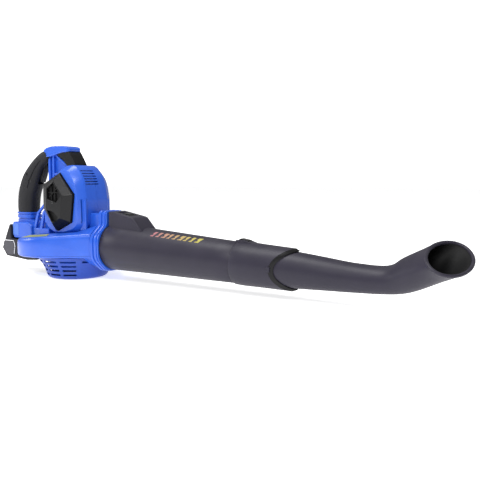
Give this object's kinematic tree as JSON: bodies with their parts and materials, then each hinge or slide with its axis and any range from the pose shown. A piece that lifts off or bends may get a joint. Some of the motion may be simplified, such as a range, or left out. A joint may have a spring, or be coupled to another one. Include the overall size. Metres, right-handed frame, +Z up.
{
  "type": "cordless leaf blower",
  "caption": "Handheld cordless leaf blower: underslung fan with an intake bowl, looped rear handle, slide-on battery, long round tube and a flattened, upturned nozzle.",
  "frame": {"origin": "centre of the intake bowl's flat underside, on the fan's axis", "axes": "+X forward along the tube towards the nozzle, +Y to the tool's left (port), +Z up along the fan's axis"},
  "size_m": [0.9656, 0.1932, 0.2652],
  "materials": {
    "blue_shell": "satin",
    "charcoal_tube": "satin",
    "black_plastic": "satin",
    "soft_grip": "matt",
    "steel": "bright",
    "cell_can": "shrink sleeve",
    "contact_metal": "bright",
    "circuit": "satin",
    "red_wire": "satin",
    "black_wire": "satin"
  },
  "bodies": {
    "housing": {"intake_grille": "blue_shell", "volute_lower": "blue_shell", "volute_upper": "blue_shell", "outlet_collar": "blue_shell", "housing_left": "blue_shell", "housing_right": "blue_shell", "side_cover_left": "black_plastic", "side_cover_right": "black_plastic", "cover_screw_left": "steel", "cover_screw_right": "steel", "rear_grip_left": "soft_grip", "rear_grip_right": "soft_grip", "grip_screw_1": "steel", "grip_screw_2": "steel", "grip_screw_3": "steel", "front_grip": "black_plastic", "trigger_pin": "steel", "trigger_spring": "steel", "switch_body": "black_plastic", "speed_spring": "steel", "circuit_board": "circuit", "power_lead_red": "red_wire", "power_lead_black": "black_wire", "terminal_block": "black_plastic", "motor_can": "steel", "motor_plate": "steel", "stator": "steel", "bearing_lower": "steel", "bearing_upper": "steel"},
    "fan": {"rotor": "steel", "impeller": "black_plastic", "impeller_nut": "steel"},
    "trigger_lever": {"trigger": "black_plastic"},
    "speed_key": {"speed_button": "black_plastic"},
    "battery": {"battery_case_lower": "charcoal_tube", "battery_case_upper": "charcoal_tube", "battery_contacts": "contact_metal", "battery_board": "circuit", "cell_1": "cell_can", "cell_2": "cell_can", "cell_3": "cell_can", "cell_4": "cell_can", "cell_5": "cell_can", "cell_6": "cell_can", "cell_7": "cell_can", "cell_8": "cell_can"},
    "battery_latch": {"battery_latch_button": "black_plastic"},
    "tube": {"main_tube": "charcoal_tube", "tube_seal": "soft_grip", "tube_latch_spring": "steel"},
    "tube_latch": {"tube_latch_button": "black_plastic"},
    "nozzle_release": {"nozzle_release_button": "black_plastic"},
    "nozzle_pipe": {"nozzle": "charcoal_tube"}
  },
  "joints": [
    {"name": "fan_spin", "type": "hinge", "parent": "housing", "child": "fan", "pos_m": [0, 0, 0.07], "axis": [0, 0, 1], "continuous": true},
    {"name": "trigger_pull", "type": "hinge", "parent": "housing", "child": "trigger_lever", "pos_m": [-0.092, 0, 0.229], "axis": [0, 1, 0], "range_deg": [0, 9], "stiffness_Nm_per_rad": 0.6, "springref_deg": -5.73},
    {"name": "speed_press", "type": "slide", "parent": "housing", "child": "speed_key", "axis": [0, 0, -1], "range_m": [0, 0.0011], "stiffness_N_per_m": 600, "springref_m": -0.001, "deforming": ["speed_spring"]},
    {"name": "battery_slide", "type": "slide", "parent": "housing", "child": "battery", "axis": [-1, 0, 0], "range_m": [0, 0.12]},
    {"name": "battery_latch_press", "type": "slide", "parent": "battery", "child": "battery_latch", "axis": [0.884, 0, -0.4675], "range_m": [0, 0.0025], "stiffness_N_per_m": 500, "springref_m": -0.001},
    {"name": "tube_slide", "type": "slide", "parent": "housing", "child": "tube", "axis": [0.9992, 0, -0.0401], "range_m": [0, 0.06]},
    {"name": "tube_latch_press", "type": "slide", "parent": "tube", "child": "tube_latch", "axis": [-0.0401, 0, -0.9992], "range_m": [0, 0.002], "stiffness_N_per_m": 500, "springref_m": -0.001, "deforming": ["tube_latch_spring"]},
    {"name": "nozzle_release_press", "type": "slide", "parent": "tube", "child": "nozzle_release", "axis": [-0.0401, 0, -0.9992], "range_m": [0, 0.0012], "stiffness_N_per_m": 400, "springref_m": -0.001},
    {"name": "nozzle_slide", "type": "slide", "parent": "tube", "child": "nozzle_pipe", "axis": [0.9992, 0, -0.0401], "range_m": [0, 0.05]}
  ]
}
